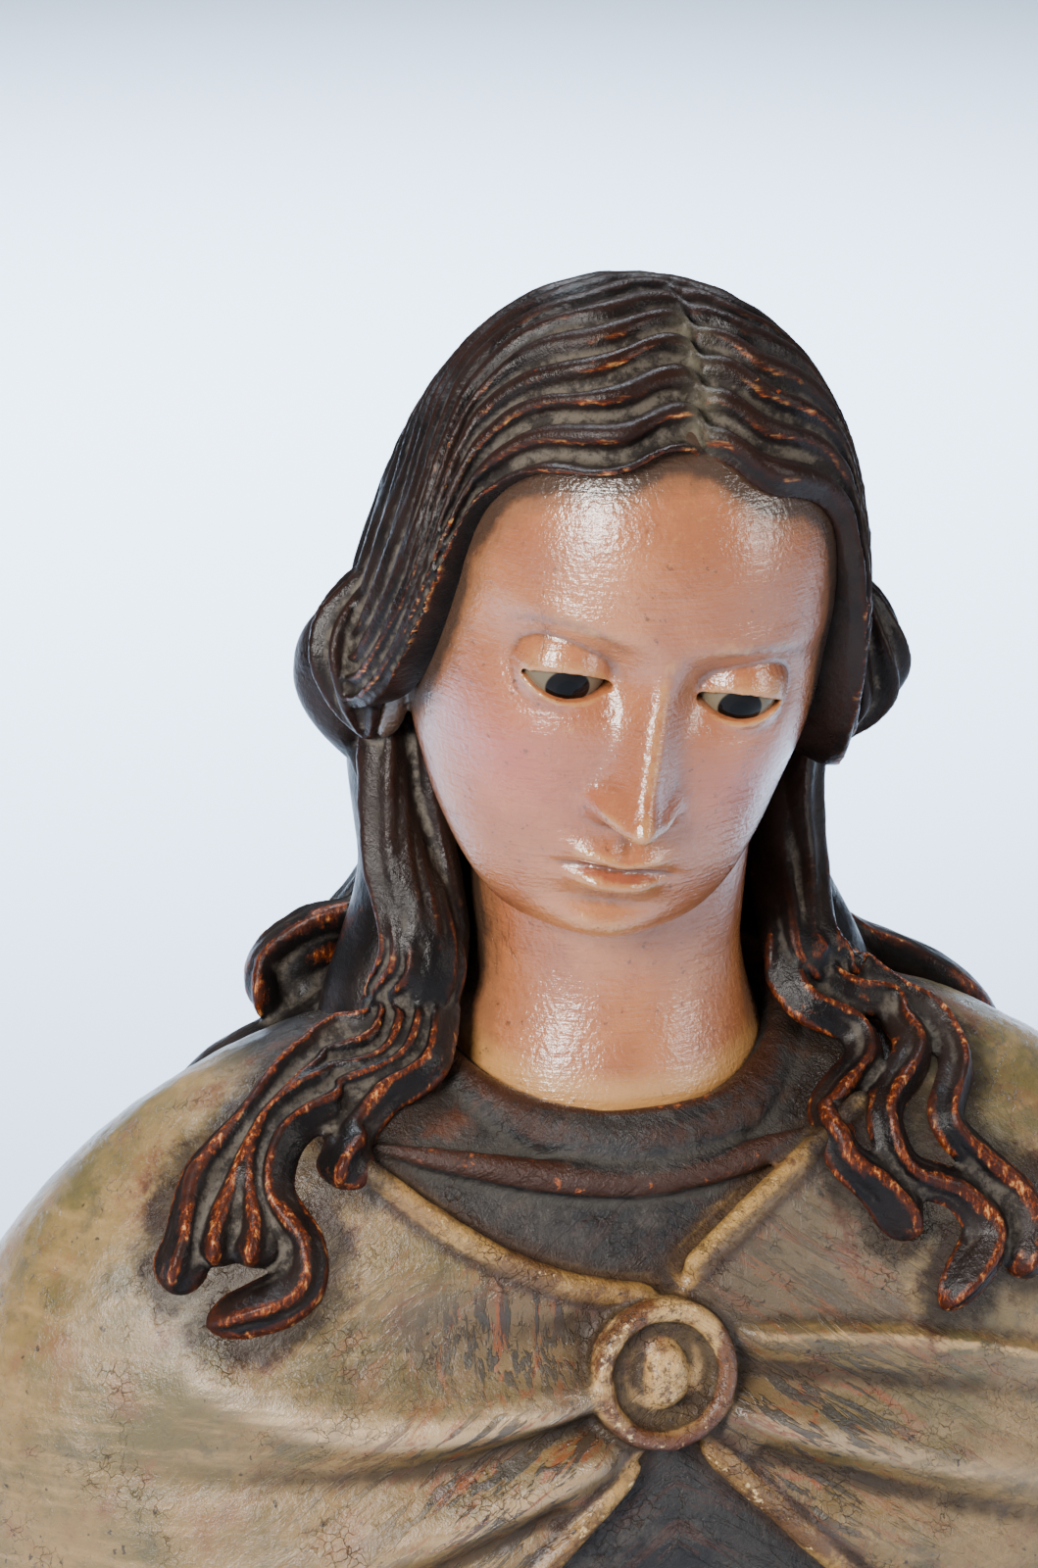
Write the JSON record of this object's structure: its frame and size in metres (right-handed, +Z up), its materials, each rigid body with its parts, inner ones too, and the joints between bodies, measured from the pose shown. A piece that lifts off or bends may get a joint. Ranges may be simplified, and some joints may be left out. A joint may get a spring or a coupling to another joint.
{
  "type": "wooden bust",
  "caption": "Carved and painted wooden bust of a madonna with long waved hair, clasped mantle and dark inset glass eyes, cut flat below the chest.",
  "frame": {"origin": "middle of the flat underside", "axes": "+Z up, the chest faces -Y, +X towards the figure's own left shoulder"},
  "size_m": [0.268, 0.132, 0.278],
  "materials": {
    "painted_wood": "aged glossy polychromy, worn to ochre and copper on the ridges",
    "eye_glass": "dark polished glass"
  },
  "bodies": {
    "root": {"carved_figure": "painted_wood", "glass_eye_right": "eye_glass", "glass_eye_left": "eye_glass"}
  },
  "joints": []
}
